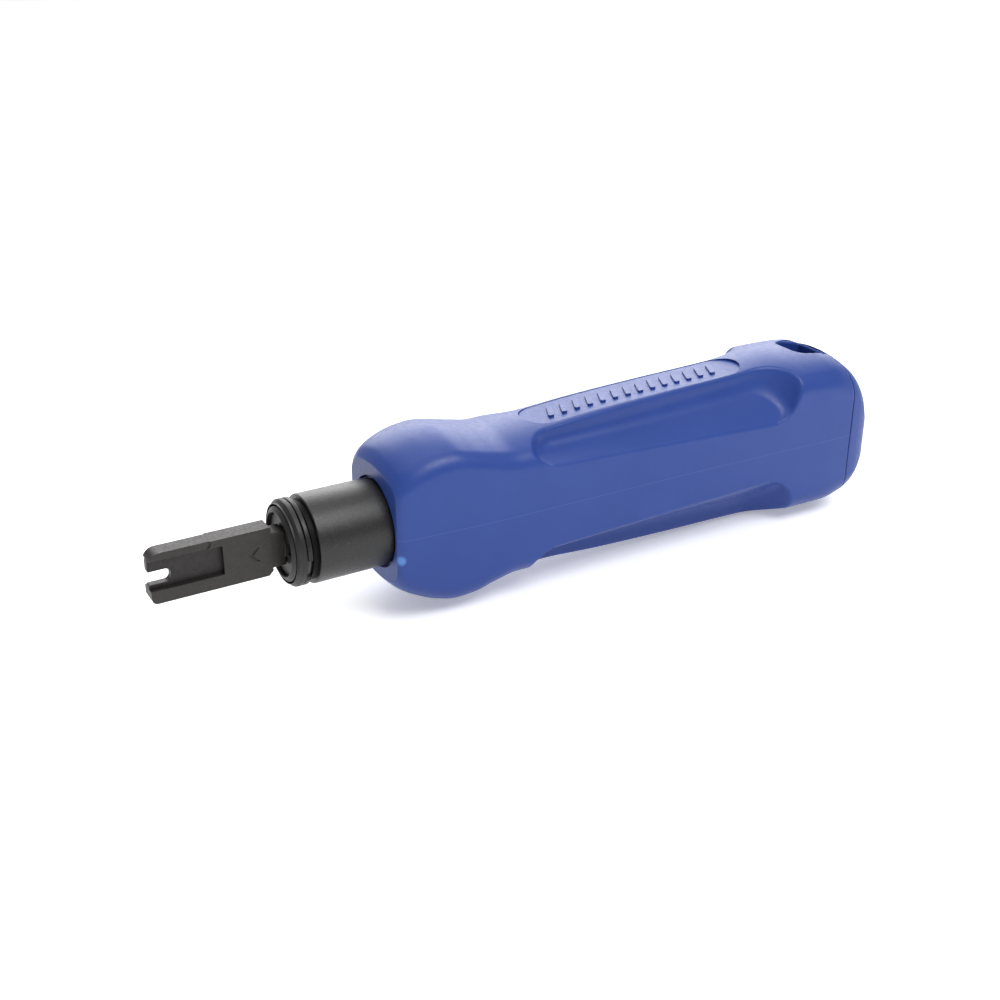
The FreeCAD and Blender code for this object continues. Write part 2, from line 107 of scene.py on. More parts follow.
def apply_modifiers(piece):
    """Replaces the piece's mesh by what its modifiers make of it."""
    bpy.context.view_layer.update()
    evaluated = piece.evaluated_get(bpy.context.evaluated_depsgraph_get())
    result = bpy.data.meshes.new_from_object(evaluated)
    old = piece.data
    piece.modifiers.clear()
    piece.data = result
    bpy.data.meshes.remove(old)


def boolean(piece, tool, operation="DIFFERENCE"):
    """Cuts the tool out of the piece, or joins it on, and removes the tool."""
    modifier = piece.modifiers.new("cut", "BOOLEAN")
    modifier.operation = operation
    modifier.solver = "EXACT"
    modifier.object = tool
    apply_modifiers(piece)
    bpy.data.objects.remove(tool)


def bevel(piece, width, segments, angle=30.0):
    """Rounds every edge that turns by more than angle degrees, over a width in millimetres."""
    modifier = piece.modifiers.new("bevel", "BEVEL")
    modifier.width = width * MM
    modifier.segments = segments
    modifier.limit_method = "ANGLE"
    modifier.angle_limit = math.radians(angle)
    apply_modifiers(piece)


def keep_flat(piece):
    """Turns the shading normals towards the large faces, so that a bevel doesn't smear over a flat."""
    modifier = piece.modifiers.new("normals", "WEIGHTED_NORMAL")
    modifier.keep_sharp = True
    apply_modifiers(piece)


def rounded(corners, steps=ARC_STEPS):
    """A closed outline from (a, b, radius) corners, each turned with an arc of its radius."""
    outline = []
    count = len(corners)
    for i, (a, b, radius) in enumerate(corners):
        here = np.array([a, b], float)
        if radius <= 0:
            outline.append(tuple(here))
            continue
        back = np.array(corners[i - 1][:2], float) - here
        ahead = np.array(corners[(i + 1) % count][:2], float) - here
        back /= np.linalg.norm(back)
        ahead /= np.linalg.norm(ahead)
        half = math.acos(max(-1.0, min(1.0, float(back @ ahead)))) / 2
        reach = radius / math.tan(half)
        centre = here + (back + ahead) / np.linalg.norm(back + ahead) * radius / math.sin(half)
        first = here + back * reach - centre
        last = here + ahead * reach - centre
        turn = math.atan2(first[0] * last[1] - first[1] * last[0], float(first @ last))
        for k in range(steps + 1):
            c, s = math.cos(turn * k / steps), math.sin(turn * k / steps)
            outline.append((centre[0] + c * first[0] - s * first[1],
                            centre[1] + s * first[0] + c * first[1]))
    return outline


def ring_faces(rings, n):
    """The four-sided faces between each ring of n points and the next."""
    faces = []
    for i in range(rings - 1):
        for k in range(n):
            m = (k + 1) % n
            faces.append((i * n + k, i * n + m, (i + 1) * n + m, (i + 1) * n + k))
    return faces


def lathe(name, corners, around=TURN_STEPS, sweep=FULL_TURN):
    """A ring turned about the tool axis from (x, radius, corner radius) corners of its section."""
    section = rounded(corners)
    whole = sweep == FULL_TURN
    turns = around if whole else around + 1
    points, faces = [], []
    for i in range(turns):
        a = math.radians(sweep[0] + (sweep[1] - sweep[0]) * i / around)
        points += [(x, r * math.cos(a), r * math.sin(a)) for x, r in section]
    n = len(section)
    for i in range(around):
        j = (i + 1) % turns
        for k in range(n):
            m = (k + 1) % n
            faces.append((i * n + k, i * n + m, j * n + m, j * n + k))
    if not whole:
        faces.append(tuple(range(n)))
        faces.append(tuple(around * n + k for k in reversed(range(n))))
    return add_mesh(name, points, faces, PART_SMOOTH)


def prism(name, outline, low, high, axis="y"):
    """An outline extruded along axis. The outline holds (x, z) for axis y and (x, y) for axis z."""
    if axis == "y":
        points = [(a, low, b) for a, b in outline] + [(a, high, b) for a, b in outline]
    else:
        points = [(a, b, low) for a, b in outline] + [(a, b, high) for a, b in outline]
    n = len(outline)
    faces = [tuple(range(n)), tuple(n + k for k in reversed(range(n)))]
    faces += [(k, (k + 1) % n, n + (k + 1) % n, n + k) for k in range(n)]
    return add_mesh(name, points, faces, PART_SMOOTH)


# ------------------------------------------------------------------------------------------------
# Handle form
# ------------------------------------------------------------------------------------------------

HANDLE_END = 133.0
SEAM_X = 127.0
SEAM_HALF_GAP = 0.09
CROWN_R = 30.0               # of the top and bottom faces, across the handle
EDGE = 0.12                  # small round at the edges of the seam and the mouth
FACE_BAND = 0.25             # a narrow band at the front face's edge
INNER_SHARE = 0.6            # how far in the faces at the seam begin, as a share of the radius
# Stations along the handle: place, half width, height above the axis, depth below it, and the radius of
# the upper and lower corners. The names after it are their columns.
STATIONS = np.array([
    (0.0, 11.2, 13.7, 12.9, 5.2, 5.2),
    (0.7, 12.0, 14.7, 13.8, 5.2, 5.2),
    (2.2, 12.5, 16.2, 15.3, 5.1, 5.1),
    (6.0, 12.9, 18.2, 17.6, 5.0, 5.0),
    (10.0, 13.1, 19.3, 19.3, 4.8, 4.8),
    (14.5, 13.4, 19.7, 20.3, 4.6, 4.6),
    (19.0, 13.7, 19.0, 20.0, 4.6, 4.6),
    (24.0, 13.9, 17.9, 18.7, 4.8, 4.8),
    (30.0, 14.1, 16.9, 17.6, 5.0, 5.0),
    (40.0, 14.2, 17.2, 17.7, 5.0, 5.0),
    (55.0, 14.3, 18.2, 18.7, 5.0, 5.0),
    (75.0, 14.6, 19.0, 19.6, 5.0, 5.0),
    (95.0, 15.1, 19.6, 20.2, 5.0, 5.0),
    (112.0, 15.6, 21.1, 20.8, 5.2, 5.2),
    (121.0, 15.9, 20.9, 20.9, 6.2, 5.4),
    (127.0, 15.9, 18.9, 19.8, 8.2, 6.2),
    (129.5, 15.7, 17.3, 18.6, 8.6, 6.4),
    (131.5, 15.2, 14.9, 16.8, 8.6, 6.2),
    (133.0, 14.5, 11.4, 14.2, 8.4, 5.8),
])
WIDTH, TOP, BOTTOM, TOP_R, BOTTOM_R = 1, 2, 3, 4, 5

MOUTH_R = 10.5               # the wider hole round the nose barrel
MOUTH_DEPTH = 1.5
BORE_R = 9.65                # the blind bore that holds the mechanism
BORE_END_X = 108.0

# Corner flutes: where each one runs, its near-upright wall, its sloping floor and its round ends.
FLUTE_X = (33.7, 109.3)
WALL_Y = (7.1, 6.2)          # wall at the top face, at the front and at the rear of the flute
WALL_TOP_DROP = 0.9          # how far below the top of the form the wall begins
WALL_DRAFT = 0.10
LIP_Z = (10.6, 7.6)          # height where the floor meets the side face, front and rear
FLOOR_SLOPE = (0.30, 0.92)   # rise of the floor towards the wall, front and rear
FLOOR_FILLET = 1.7
END_LEAN = (0.30, 0.45)      # how far the front and rear end lean back for each mm outwards
END_RIM = (6.2, 11.7)        # how far outwards an end's rim reaches
END_PLAN_R = (6.0, 7.0)      # rounding between an end and the wall
END_LIP_R = (4.5, 4.5)       # rounding between an end and the side face
END_LIP_LIMIT = 0.98         # the share of that rounding which is used
RIM_ROUND = 0.6

# The search for the surface: the radii it starts between, and how often it halves the distance.
RADIUS_RANGE = (9.0, 30.0)
HALVINGS = 26

# Rows of the skin as (place, count to the next): along the handle, along the cap, and round a quarter.
HANDLE_END_FACE_X = SEAM_X - SEAM_HALF_GAP
CAP_FACE_X = SEAM_X + SEAM_HALF_GAP
HANDLE_ROWS = [(0.0, 8), (1.2, 10), (4.0, 40), (32.0, 44), (46.0, 58), (97.0, 54), (113.0, 28),
               (HANDLE_END_FACE_X - EDGE, 0)]
CAP_ROWS = [(CAP_FACE_X + EDGE, 20), (131.5, 16), (HANDLE_END, 0)]
QUARTER_ROWS = [(0, 12), (20, 60), (74, 12), (90, 0)]
END_FACE_SHARES = (0.97, 0.85, 0.6, 0.3)


def smooth_along(x, column):
    """A station value at x, on a curve through the stations that never overshoots them."""
    xs, ys = STATIONS[:, 0], STATIONS[:, column]
    step = np.diff(xs)
    rise = np.diff(ys) / step
    # The slope at a station is a weighted harmonic mean of the rises beside it, and 0 at a turning point.
    slope = np.zeros(len(xs))
    slope[0], slope[-1] = rise[0], rise[-1]
    for i in range(1, len(xs) - 1):
        if rise[i - 1] * rise[i] > 0:
            w1, w2 = 2 * step[i] + step[i - 1], step[i] + 2 * step[i - 1]
            slope[i] = (w1 + w2) / (w1 / rise[i - 1] + w2 / rise[i])
    k = np.clip(np.searchsorted(xs, x, side="right") - 1, 0, len(xs) - 2)
    h = step[k]
    t = np.clip((x - xs[k]) / h, 0.0, 1.0)
    # The weights of a cubic through two values with their slopes.
    a, b = (1 + 2 * t) * (1 - t) ** 2, t * (1 - t) ** 2
    c, d = t * t * (3 - 2 * t), t * t * (t - 1)
    return a * ys[k] + b * h * slope[k] + c * ys[k + 1] + d * h * slope[k + 1]


def round_max(a, b, radius):
    """The larger of two distances, with the edge between them turned to a radius."""
    inside = np.minimum(np.maximum(a, b), -radius)
    return inside + np.hypot(np.maximum(a + radius, 0), np.maximum(b + radius, 0))


def body_distance(x, y, z):
    """How far a point lies outside the handle's plain form, without its hollows."""
    half_width = smooth_along(x, WIDTH)
    radius = np.where(z >= 0, smooth_along(x, TOP_R), smooth_along(x, BOTTOM_R))
    top = np.where(z >= 0, smooth_along(x, TOP), smooth_along(x, BOTTOM))
    y, z = np.abs(y), np.abs(z)
    corner_y = half_width - radius
    drop = CROWN_R - np.sqrt((CROWN_R - radius) ** 2 - corner_y ** 2)
    corner_z = top - drop
    side = y - half_width
    crown = np.hypot(y, z - (top - CROWN_R)) - CROWN_R
    corner = np.hypot(y - corner_y, z - corner_z) - radius
    tilt = np.arctan2(CROWN_R - drop, corner_y)
    angle = np.arctan2(z - corner_z, y - corner_y)
    flat = np.where(z <= corner_z, np.maximum(side, crown), crown)
    return np.where((angle > 0) & (angle < tilt) & (y > corner_y), corner, flat)


def flute_distance(x, y, z):
    """How far a point lies outside the corner flute of its own quarter."""
    share = np.clip((x - FLUTE_X[0]) / (FLUTE_X[1] - FLUTE_X[0]), 0, 1)
    top = np.where(z >= 0, smooth_along(x, TOP), smooth_along(x, BOTTOM)) - WALL_TOP_DROP
    side_y = smooth_along(x, WIDTH)
    y, z = np.abs(y), np.abs(z)
    wall_y = WALL_Y[0] + (WALL_Y[1] - WALL_Y[0]) * share
    lip_z = LIP_Z[0] + (LIP_Z[1] - LIP_Z[0]) * share
    slope = FLOOR_SLOPE[0] + (FLOOR_SLOPE[1] - FLOOR_SLOPE[0]) * share
    trough = (wall_y + WALL_DRAFT * (top - z) - y) / math.hypot(1, WALL_DRAFT)
    floor = (lip_z + slope * (side_y - y) - z) / np.hypot(1, slope)
    outward = ((y - wall_y) + (z - lip_z)) * math.sqrt(0.5)
    across = ((y - side_y) - (z - lip_z)) * math.sqrt(0.5)
    for end, sign in ((0, -1), (1, 1)):
        near_lip = np.clip(across / END_LIP_R[end] + 1, 0, END_LIP_LIMIT)
        set_back = END_LIP_R[end] * (1 - np.sqrt(1 - near_lip ** 2))
        set_back = set_back + END_LEAN[end] * (END_RIM[end] - outward)
        past = (sign * (x - FLUTE_X[end]) + set_back) / math.hypot(1, END_LEAN[end])
        trough = round_max(trough, past, END_PLAN_R[end])
    return round_max(trough, floor, FLOOR_FILLET)


def handle_distance(x, y, z):
    """How far a point lies outside the handle with its four flutes."""
    return round_max(body_distance(x, y, z), -flute_distance(x, y, z), RIM_ROUND)


def handle_radius(x, angle):
    """Distance from the tool axis to the handle's surface, for every place and angle given."""
    low = np.full(np.broadcast(x, angle).shape, RADIUS_RANGE[0])
    high = np.full(low.shape, RADIUS_RANGE[1])
    for _ in range(HALVINGS):
        middle = (low + high) / 2
        outside = handle_distance(x, middle * np.cos(angle), middle * np.sin(angle)) > 0
        high = np.where(outside, middle, high)
        low = np.where(outside, low, middle)
    return (low + high) / 2


def spread(breaks):
    """Values between the breaks (value, count to the next), without the last one."""
    values = []
    for (a, count), (b, _) in zip(breaks, breaks[1:]):
        values += [a + (b - a) * k / count for k in range(count)]
    return values


def angles_around():
    """Angles round the axis, close together where the flutes and corners turn."""
    quarter = spread(QUARTER_ROWS)
    angles = []
    for turn in range(4):
        part = quarter if turn % 2 == 0 else [0.0] + [90 - a for a in reversed(quarter[1:])]
        angles += [turn * 90 + a for a in part]
    return np.radians(np.array(angles))


def grid_shell(name, xs, front_rings, rear_rings):
    """The handle's skin between the first and last place, closed by rings of set radius at each end."""
    angles = angles_around()
    n = len(angles)
    radius = handle_radius(np.array(xs)[:, None], angles[None, :])
    rows = [(x, r) for x, r in front_rings(radius[0])]
    rows += [(np.full(n, x), r) for x, r in zip(xs, radius)]
    rows += [(x, r) for x, r in rear_rings(radius[-1])]
    points = []
    for x, r in rows:
        ring_points = np.stack([np.broadcast_to(x, n), r * np.cos(angles), r * np.sin(angles)], 1)
        points += ring_points.tolist()
    faces = ring_faces(len(rows), n)
    faces.append(tuple(reversed(range(n))))
    last = (len(rows) - 1) * n
    faces.append(tuple(last + k for k in range(n)))
    return add_mesh(name, points, faces)


def make_handle_body():
    """The handle's skin up to the seam, with the mouth and the blind bore at the front."""
    xs = spread(HANDLE_ROWS) + [HANDLE_ROWS[-1][0]]

    def front(edge):
        mouth = np.full(len(edge), MOUTH_R)
        bore = np.full(len(edge), BORE_R)
        return [(BORE_END_X, bore), (MOUTH_DEPTH, bore), (MOUTH_DEPTH, mouth), (EDGE, mouth),
                (0.0, mouth + EDGE), (0.0, edge - FACE_BAND)]

    def rear(edge):
        return [(HANDLE_END_FACE_X, edge - EDGE), (HANDLE_END_FACE_X, edge * INNER_SHARE)]

    return grid_shell("handle_shell", xs, front, rear)


def make_end_cap():
    """The skin behind the seam, closed by a flat end face."""
    xs = spread(CAP_ROWS) + [HANDLE_END]

    def front(edge):
        return [(CAP_FACE_X, edge * INNER_SHARE), (CAP_FACE_X, edge - EDGE)]

    def rear(edge):
        return [(HANDLE_END, edge * share) for share in END_FACE_SHARES]

    return grid_shell("handle_cap", xs, front, rear)


# ------------------------------------------------------------------------------------------------
# Label pocket, its raised bars, and the lanyard slot
# ------------------------------------------------------------------------------------------------

POCKET_X = (38.0, 100.4)
POCKET_WIDTH = 11.0
POCKET_DEPTH = 0.6
POCKET_END_ANGLES = (2, 10, 20, 32, 45, 60, 75, 90)      # rows round a pocket end, in degrees
POCKET_ROWS = 24
POCKET_CUT_HEIGHT = 5.0
RIB_COUNT = 14
RIB_PITCH = 3.6
RIB_HALF = (0.75, 2.6)       # half length along the tool and half width across it
RIB_SLANT = 1.2
RIB_HEIGHT = 0.45
RIB_ROOT = 0.4               # how deep a bar starts below the pocket's floor
RIB_CORNER_R = 0.35
RIB_EDGE = 0.15
SLOT_X = (116.5, 126.0)
SLOT_HALF_WIDTH = 5.3
SLOT_CORNER_R = (3.5, 1.0)   # front and rear corners
SLOT_RIM = 0.8
SLOT_REAR_RIM = 0.45         # the rim's width at the rear, beside the seam
RIM_ANGLES = (90, 70, 50, 30, 10, 0)
RIM_ABOVE = (1.2, 1.5)       # where the cutter ends: outset, height above the face


def crown_height(x):
    """Height of the top face above the axis, on its middle line."""
    return float(smooth_along(np.array([x]), TOP)[0])


def strip_grid(name, rows, thickness):
    """A closed strip from rows of points, given a thickness straight up."""
    n = len(rows[0])
    points = [p for row in rows for p in row]
    count = len(points)
    points += [(x, y, z + thickness) for x, y, z in points]
    faces = []
    for i in range(len(rows) - 1):
        for k in range(n - 1):
            a, b, c, d = i * n + k, i * n + k + 1, (i + 1) * n + k + 1, (i + 1) * n + k
            faces += [(a, b, c, d), (d + count, c + count, b + count, a + count)]
        for k in (0, n - 1):
            a, b = i * n + k, (i + 1) * n + k
            faces.append((a, b, b + count, a + count) if k == 0 else (b, a, a + count, b + count))
    for i in (0, len(rows) - 1):
        for k in range(n - 1):
            a, b = i * n + k, i * n + k + 1
            faces.append((b, a, a + count, b + count) if i == 0 else (a, b, b + count, a + count))
    return add_mesh(name, points, faces)


def pocket_floor(x):
    """Height of the pocket's floor above the axis."""
    return crown_height(x) - POCKET_DEPTH


def make_pocket_cutter():
    """A round-ended cutter whose underside follows the slope of the top face."""
    half = POCKET_WIDTH / 2
    rows = []
    places = [POCKET_X[0] + half * (1 - math.cos(math.radians(a))) for a in POCKET_END_ANGLES]
    ends = [POCKET_X[1] - (x - POCKET_X[0]) for x in reversed(places)]
    middle = np.linspace(places[-1], ends[0], POCKET_ROWS)[1:-1].tolist()
    for x in places + middle + ends:
        from_end = min(x - POCKET_X[0], POCKET_X[1] - x)
        reach = half if from_end >= half else math.sqrt(half ** 2 - (half - from_end) ** 2)
        rows.append([(x, reach * s, pocket_floor(x)) for s in (-1, 1)])
    return strip_grid("pocket_cutter", rows, POCKET_CUT_HEIGHT)


def add_label_bars(piece):
    """Slanted raised bars on the pocket floor, joined to the handle."""
    middle = sum(POCKET_X) / 2
    for i in range(RIB_COUNT):
        x = middle + (i - (RIB_COUNT - 1) / 2) * RIB_PITCH
        half_x, half_y = RIB_HALF
        corners = [(-half_x - RIB_SLANT, -half_y), (half_x - RIB_SLANT, -half_y),
                   (half_x + RIB_SLANT, half_y), (-half_x + RIB_SLANT, half_y)]
        outline = rounded([(x + dx, dy, RIB_CORNER_R) for dx, dy in corners], steps=3)
        low = pocket_floor(x) - RIB_ROOT
        bar = prism("bar", outline, low, low + RIB_ROOT + RIB_HEIGHT, "z")
        bevel(bar, RIB_EDGE, 2)
        boolean(piece, bar, "UNION")


def make_slot_cutter():
    """An upright cutter with a flare that rounds the slot's rim where it meets the top and bottom faces."""
    arc = [math.radians(a) for a in RIM_ANGLES]
    flare = [RIM_ABOVE] + [(SLOT_RIM * (1 - math.cos(a)), SLOT_RIM * (math.sin(a) - 1)) for a in arc]
    front_r, rear_r = SLOT_CORNER_R
    rings = []
    for side, column in ((-1, BOTTOM), (1, TOP)):
        for outset, above in flare if side < 0 else flare[::-1]:
            x0, x1 = SLOT_X[0] - outset, SLOT_X[1] + min(outset, SLOT_REAR_RIM)
            half = SLOT_HALF_WIDTH + outset
            outline = rounded([(x0, -half, front_r + outset), (x1, -half, rear_r),
                               (x1, half, rear_r), (x0, half, front_r + outset)], steps=8)
            xs = np.array([a for a, _ in outline])
            crown = smooth_along(xs, column) - np.array([b for _, b in outline]) ** 2 / (2 * CROWN_R)
            rings.append([(a, b, side * (c + above)) for (a, b), c in zip(outline, crown)])
    n = len(rings[0])
    points = [p for ring in rings for p in ring]
    faces = [tuple(reversed(range(n))), tuple(len(points) - n + k for k in range(n))]
    return add_mesh("slot_cutter", points, faces + ring_faces(len(rings), n))


# ------------------------------------------------------------------------------------------------
# Nose
# ------------------------------------------------------------------------------------------------

BARREL_FRONT_X = -17.04
BARREL_R = 10.0
BARREL_EDGES = (0.3, 0.02, 0.2)     # at its front, at the handle's face and at its rear
BARREL_STEP_R = 9.6          # inside the handle
NOSE_REAR_X = 19.9           # where the barrel and the sleeve end in the handle
SLEEVE_FRONT_X = -22.05
SLEEVE_R = 8.9
SLEEVE_BORE_R = 7.05
SLEEVE_EDGE = 0.1
GROOVE_EDGE = 0.05
CLIP_GROOVE_X = (-20.0, -18.3)
CLIP_GROOVE_R = 8.3
RING_X = (-22.7, -20.0)
RING_R = 9.75
RING_BORE_R = 7.15
RING_STEP_R = 8.95           # where the ring's hole steps out over the sleeve
RING_RIM_R = 7.42
RING_CONE_END_X = -21.1
RING_EDGES = (0.12, 0.4, 0.15)      # at its rim, at the cone's end and at its rear
CLIP_X = (-19.8, -18.7)
CLIP_INNER_R = 8.35
CLIP_EDGES = (0.1, 0.25)     # inner and outer
CLIP_MIDDLE = 201.0          # the middle of the clip's gap, degrees round the axis
CLIP_HALF_GAP = 18.0
CLIP_STEPS = 140


def make_barrel():
    """The black nose tube, with a step down where it enters the handle's bore."""
    front_edge, face_edge, rear_edge = BARREL_EDGES
    return lathe("barrel", [
        (BARREL_FRONT_X, SLEEVE_R, 0), (BARREL_FRONT_X, BARREL_R, front_edge),
        (0.0, BARREL_R, face_edge), (0.0, BARREL_STEP_R, 0),
        (NOSE_REAR_X, BARREL_STEP_R, rear_edge), (NOSE_REAR_X, SLEEVE_R, 0),
    ])


def make_nose_ring():
    """The coned ring on the sleeve's front end."""
    front, rear = RING_X
    rim_edge, cone_edge, rear_edge = RING_EDGES
    return lathe("ring", [
        (front, RING_BORE_R, rim_edge), (front, RING_RIM_R, rim_edge), (RING_CONE_END_X, RING_R, cone_edge),
        (rear, RING_R, rear_edge), (rear, RING_STEP_R, 0),
        (SLEEVE_FRONT_X, RING_STEP_R, 0), (SLEEVE_FRONT_X, RING_BORE_R, 0),
    ])


def make_sleeve():
    """The guide sleeve inside the nose, with the clip's groove."""
    groove_front, groove_rear = CLIP_GROOVE_X
    return lathe("liner", [
        (SLEEVE_FRONT_X, SLEEVE_BORE_R, SLEEVE_EDGE), (SLEEVE_FRONT_X, SLEEVE_R, SLEEVE_EDGE),
        (groove_front, SLEEVE_R, GROOVE_EDGE), (groove_front, CLIP_GROOVE_R, GROOVE_EDGE),
        (groove_rear, CLIP_GROOVE_R, GROOVE_EDGE), (groove_rear, SLEEVE_R, GROOVE_EDGE),
        (NOSE_REAR_X, SLEEVE_R, SLEEVE_EDGE), (NOSE_REAR_X, SLEEVE_BORE_R, SLEEVE_EDGE),
    ])


def make_clip():
    """The split retaining clip in the sleeve's groove."""
    front, rear = CLIP_X
    inner_edge, outer_edge = CLIP_EDGES
    corners = [(front, CLIP_INNER_R, inner_edge), (front, RING_R, outer_edge),
               (rear, RING_R, outer_edge), (rear, CLIP_INNER_R, inner_edge)]
    sweep = (CLIP_MIDDLE + CLIP_HALF_GAP, CLIP_MIDDLE - CLIP_HALF_GAP + FULL_TURN[1])
    return lathe("clip", corners, CLIP_STEPS, sweep)


# ------------------------------------------------------------------------------------------------
# Blade
# ------------------------------------------------------------------------------------------------

BLADE_TIP = -51.5
BLADE_BACK = -25.0
HALF_WIDTH = 5.65
HALF_THICK = 2.25
BLADE_EDGE = 0.18
CORNER_R = 0.2
UPPER_BACK_R = 0.3
LOWER_TIP_R = 1.2
UPPER_TIP_R = 2.6
BACK_CORNER = 1.0            # the cut-off lower corner at the blade's back
TIP_SLOT_Z = (-1.7, 1.3)
TIP_SLOT_DEPTH = 4.8
TIP_SLOT_R = 1.2
CUT_CLEAR = 3.0              # how far a cutter starts in front of the tip
SIDE_CLEAR = 1.0             # how far a cutter stands off a face
CHANNEL_Z = (-2.7, 4.0)
CHANNEL_END_X = -35.7
CHANNEL_END_R = 0.3
CHANNEL_DEPTH = 1.4
LAND_CUT = 0.3
LAND_Z = (3.9, 7.0)
LAND_END_X = (-37.0, -39.2)  # where the land runs out, at its lower and its upper edge
LAND_END_R = 1.2
NECK_X = (-25.5, -21.8)
NECK_HALF_WIDTH = 4.2
NECK_HALF_THICK = 2.0
NECK_EDGE = 0.4
SHANK_X = (-22.3, -4.0)
SHANK_R = 3.0
SHANK_EDGES = (0.1, 0.5)     # front and rear
SHANK_STEPS = 64
MARK_TIP_X = -30.0           # the point of the engraved chevron
MARK_RISE = 1.6              # run and rise of its arms
MARK_LINE = 0.7              # width of its line along the blade
MARK_DEPTH = 0.25


def face_cutter(name, outline, side, depth):
    """A cutter with the outline given, which goes to a depth below one face of the blade."""
    low, high = sorted((side * (HALF_THICK - depth), side * (HALF_THICK + SIDE_CLEAR)))
    return prism(name, outline, low, high)


def ground_land(side):
    """A shallow cutter over the upper land of one face, which runs out in an arc before mid length."""
    front = BLADE_TIP - CUT_CLEAR
    low, high = LAND_Z
    outline = rounded([(front, low, 0), (LAND_END_X[0], low, LAND_END_R),
                       (LAND_END_X[1], high, 0), (front, high, 0)])
    return face_cutter("land", outline, side, LAND_CUT)


def channel(side):
    """The cutter of the long recess in one face."""
    front = BLADE_TIP - CUT_CLEAR
    low, high = CHANNEL_Z
    outline = rounded([(front, low, 0), (CHANNEL_END_X, low, CHANNEL_END_R),
                       (CHANNEL_END_X, high, CHANNEL_END_R), (front, high, 0)], steps=4)
    return face_cutter("channel", outline, side, CHANNEL_DEPTH)


def make_blade():
    """The flat blade: slotted tip, a channel on each face, a ground land, a neck, a shank and a mark."""
    slot_low, slot_high = TIP_SLOT_Z
    slot_end = BLADE_TIP + TIP_SLOT_DEPTH
    outline = rounded([
        (BLADE_TIP, slot_low, CORNER_R), (BLADE_TIP, -HALF_WIDTH, LOWER_TIP_R),
        (BLADE_BACK - BACK_CORNER, -HALF_WIDTH, CORNER_R), (BLADE_BACK, -HALF_WIDTH + BACK_CORNER, CORNER_R),
        (BLADE_BACK, HALF_WIDTH, UPPER_BACK_R), (BLADE_TIP, HALF_WIDTH, UPPER_TIP_R),
        (BLADE_TIP, slot_high, CORNER_R), (slot_end, slot_high, TIP_SLOT_R), (slot_end, slot_low, TIP_SLOT_R),
    ])
    blade = prism("blade", outline, -HALF_THICK, HALF_THICK)
    for side in (-1, 1):
        boolean(blade, ground_land(side))
        boolean(blade, channel(side))
    front, rear = NECK_X
    neck_outline = [(front, -NECK_HALF_WIDTH), (rear, -NECK_HALF_WIDTH),
                    (rear, NECK_HALF_WIDTH), (front, NECK_HALF_WIDTH)]
    neck = prism("neck", neck_outline, -NECK_HALF_THICK, NECK_HALF_THICK)
    bevel(neck, NECK_EDGE, 3)
    boolean(blade, neck, "UNION")
    arm = MARK_TIP_X + MARK_RISE
    mark = [(MARK_TIP_X, 0), (arm, MARK_RISE), (arm + MARK_LINE, MARK_RISE),
            (MARK_TIP_X + MARK_LINE, 0), (arm + MARK_LINE, -MARK_RISE), (arm, -MARK_RISE)]
    boolean(blade, prism("mark", mark, -HALF_THICK - SIDE_CLEAR / 2, -HALF_THICK + MARK_DEPTH))
    front, rear = SHANK_X
    shank = [(front, 0.0, 0), (front, SHANK_R, SHANK_EDGES[0]),
             (rear, SHANK_R, SHANK_EDGES[1]), (rear, 0.0, 0)]
    boolean(blade, lathe("shank", shank, SHANK_STEPS), "UNION")
    bevel(blade, BLADE_EDGE, 2, PART_SMOOTH)
    shade(blade, FINE_SMOOTH)
    keep_flat(blade)
    return blade


# ------------------------------------------------------------------------------------------------
# Springs
# ------------------------------------------------------------------------------------------------

# A spring's length, mean radius, wire radius and number of turns.
MAIN_COIL = (27.3, 7.2, 0.8, 9)
RETURN_COIL = (13.8, 5.4, 0.45, 7)
LATCH_COIL = (3.5, 1.0, 0.2, 5)
DETENT_COIL = (1.2, 0.62, 0.15, 3)
MAIN_COIL_START = (75.6, 0, 0)
RETURN_COIL_START = (23.1, 0, 0)
LATCH_COIL_START = (53.0, 0, -6.0)
DETENT_COIL_START = (-13.0, 0, -5.5)
REARWARD = (1, 0, 0)
UPWARD = (0, 0, 1)


def make_coil(name, length, mean_r, wire_r, turns, steps=36, around=10):
    """A compression spring along +X from 0: one closed turn at each end and open turns between them."""
    count = int(turns * steps)
    lead = 2 * wire_r
    centres = []
    for i in range(count + 1):
        t = i / steps
        open_share = min(max((t - 1) / (turns - 2), 0.0), 1.0)
        closed = min(t, 1) + max(0.0, t - (turns - 1))
        x = wire_r + closed * lead + open_share * (length - 2 * wire_r - 2 * lead)
        a = 2 * math.pi * t
        centres.append(Vector((x, mean_r * math.cos(a), mean_r * math.sin(a))))
    points = []
    for i, centre in enumerate(centres):
        ahead = (centres[min(i + 1, count)] - centres[max(i - 1, 0)]).normalized()
        out = Vector((0, centre.y, centre.z)).normalized()
        side = ahead.cross(out).normalized()
        for k in range(around):
            a = 2 * math.pi * k / around
            points.append(centre + (out * math.cos(a) + side * math.sin(a)) * wire_r)
    faces = ring_faces(len(centres), around)
    faces.append(tuple(reversed(range(around))))
    faces.append(tuple(count * around + k for k in range(around)))
    return add_mesh(name, [tuple(p) for p in points], faces, FINE_SMOOTH)


def stand(piece, start, axis):
    """Turns a piece made along +X to run along axis, with its start at the point given."""
    turn = Vector(REARWARD).rotation_difference(Vector(axis)).to_matrix().to_4x4()
    piece.data.transform(Matrix.Translation(Vector(start) * MM) @ turn)
    return piece


# ------------------------------------------------------------------------------------------------
# Materials
# ------------------------------------------------------------------------------------------------

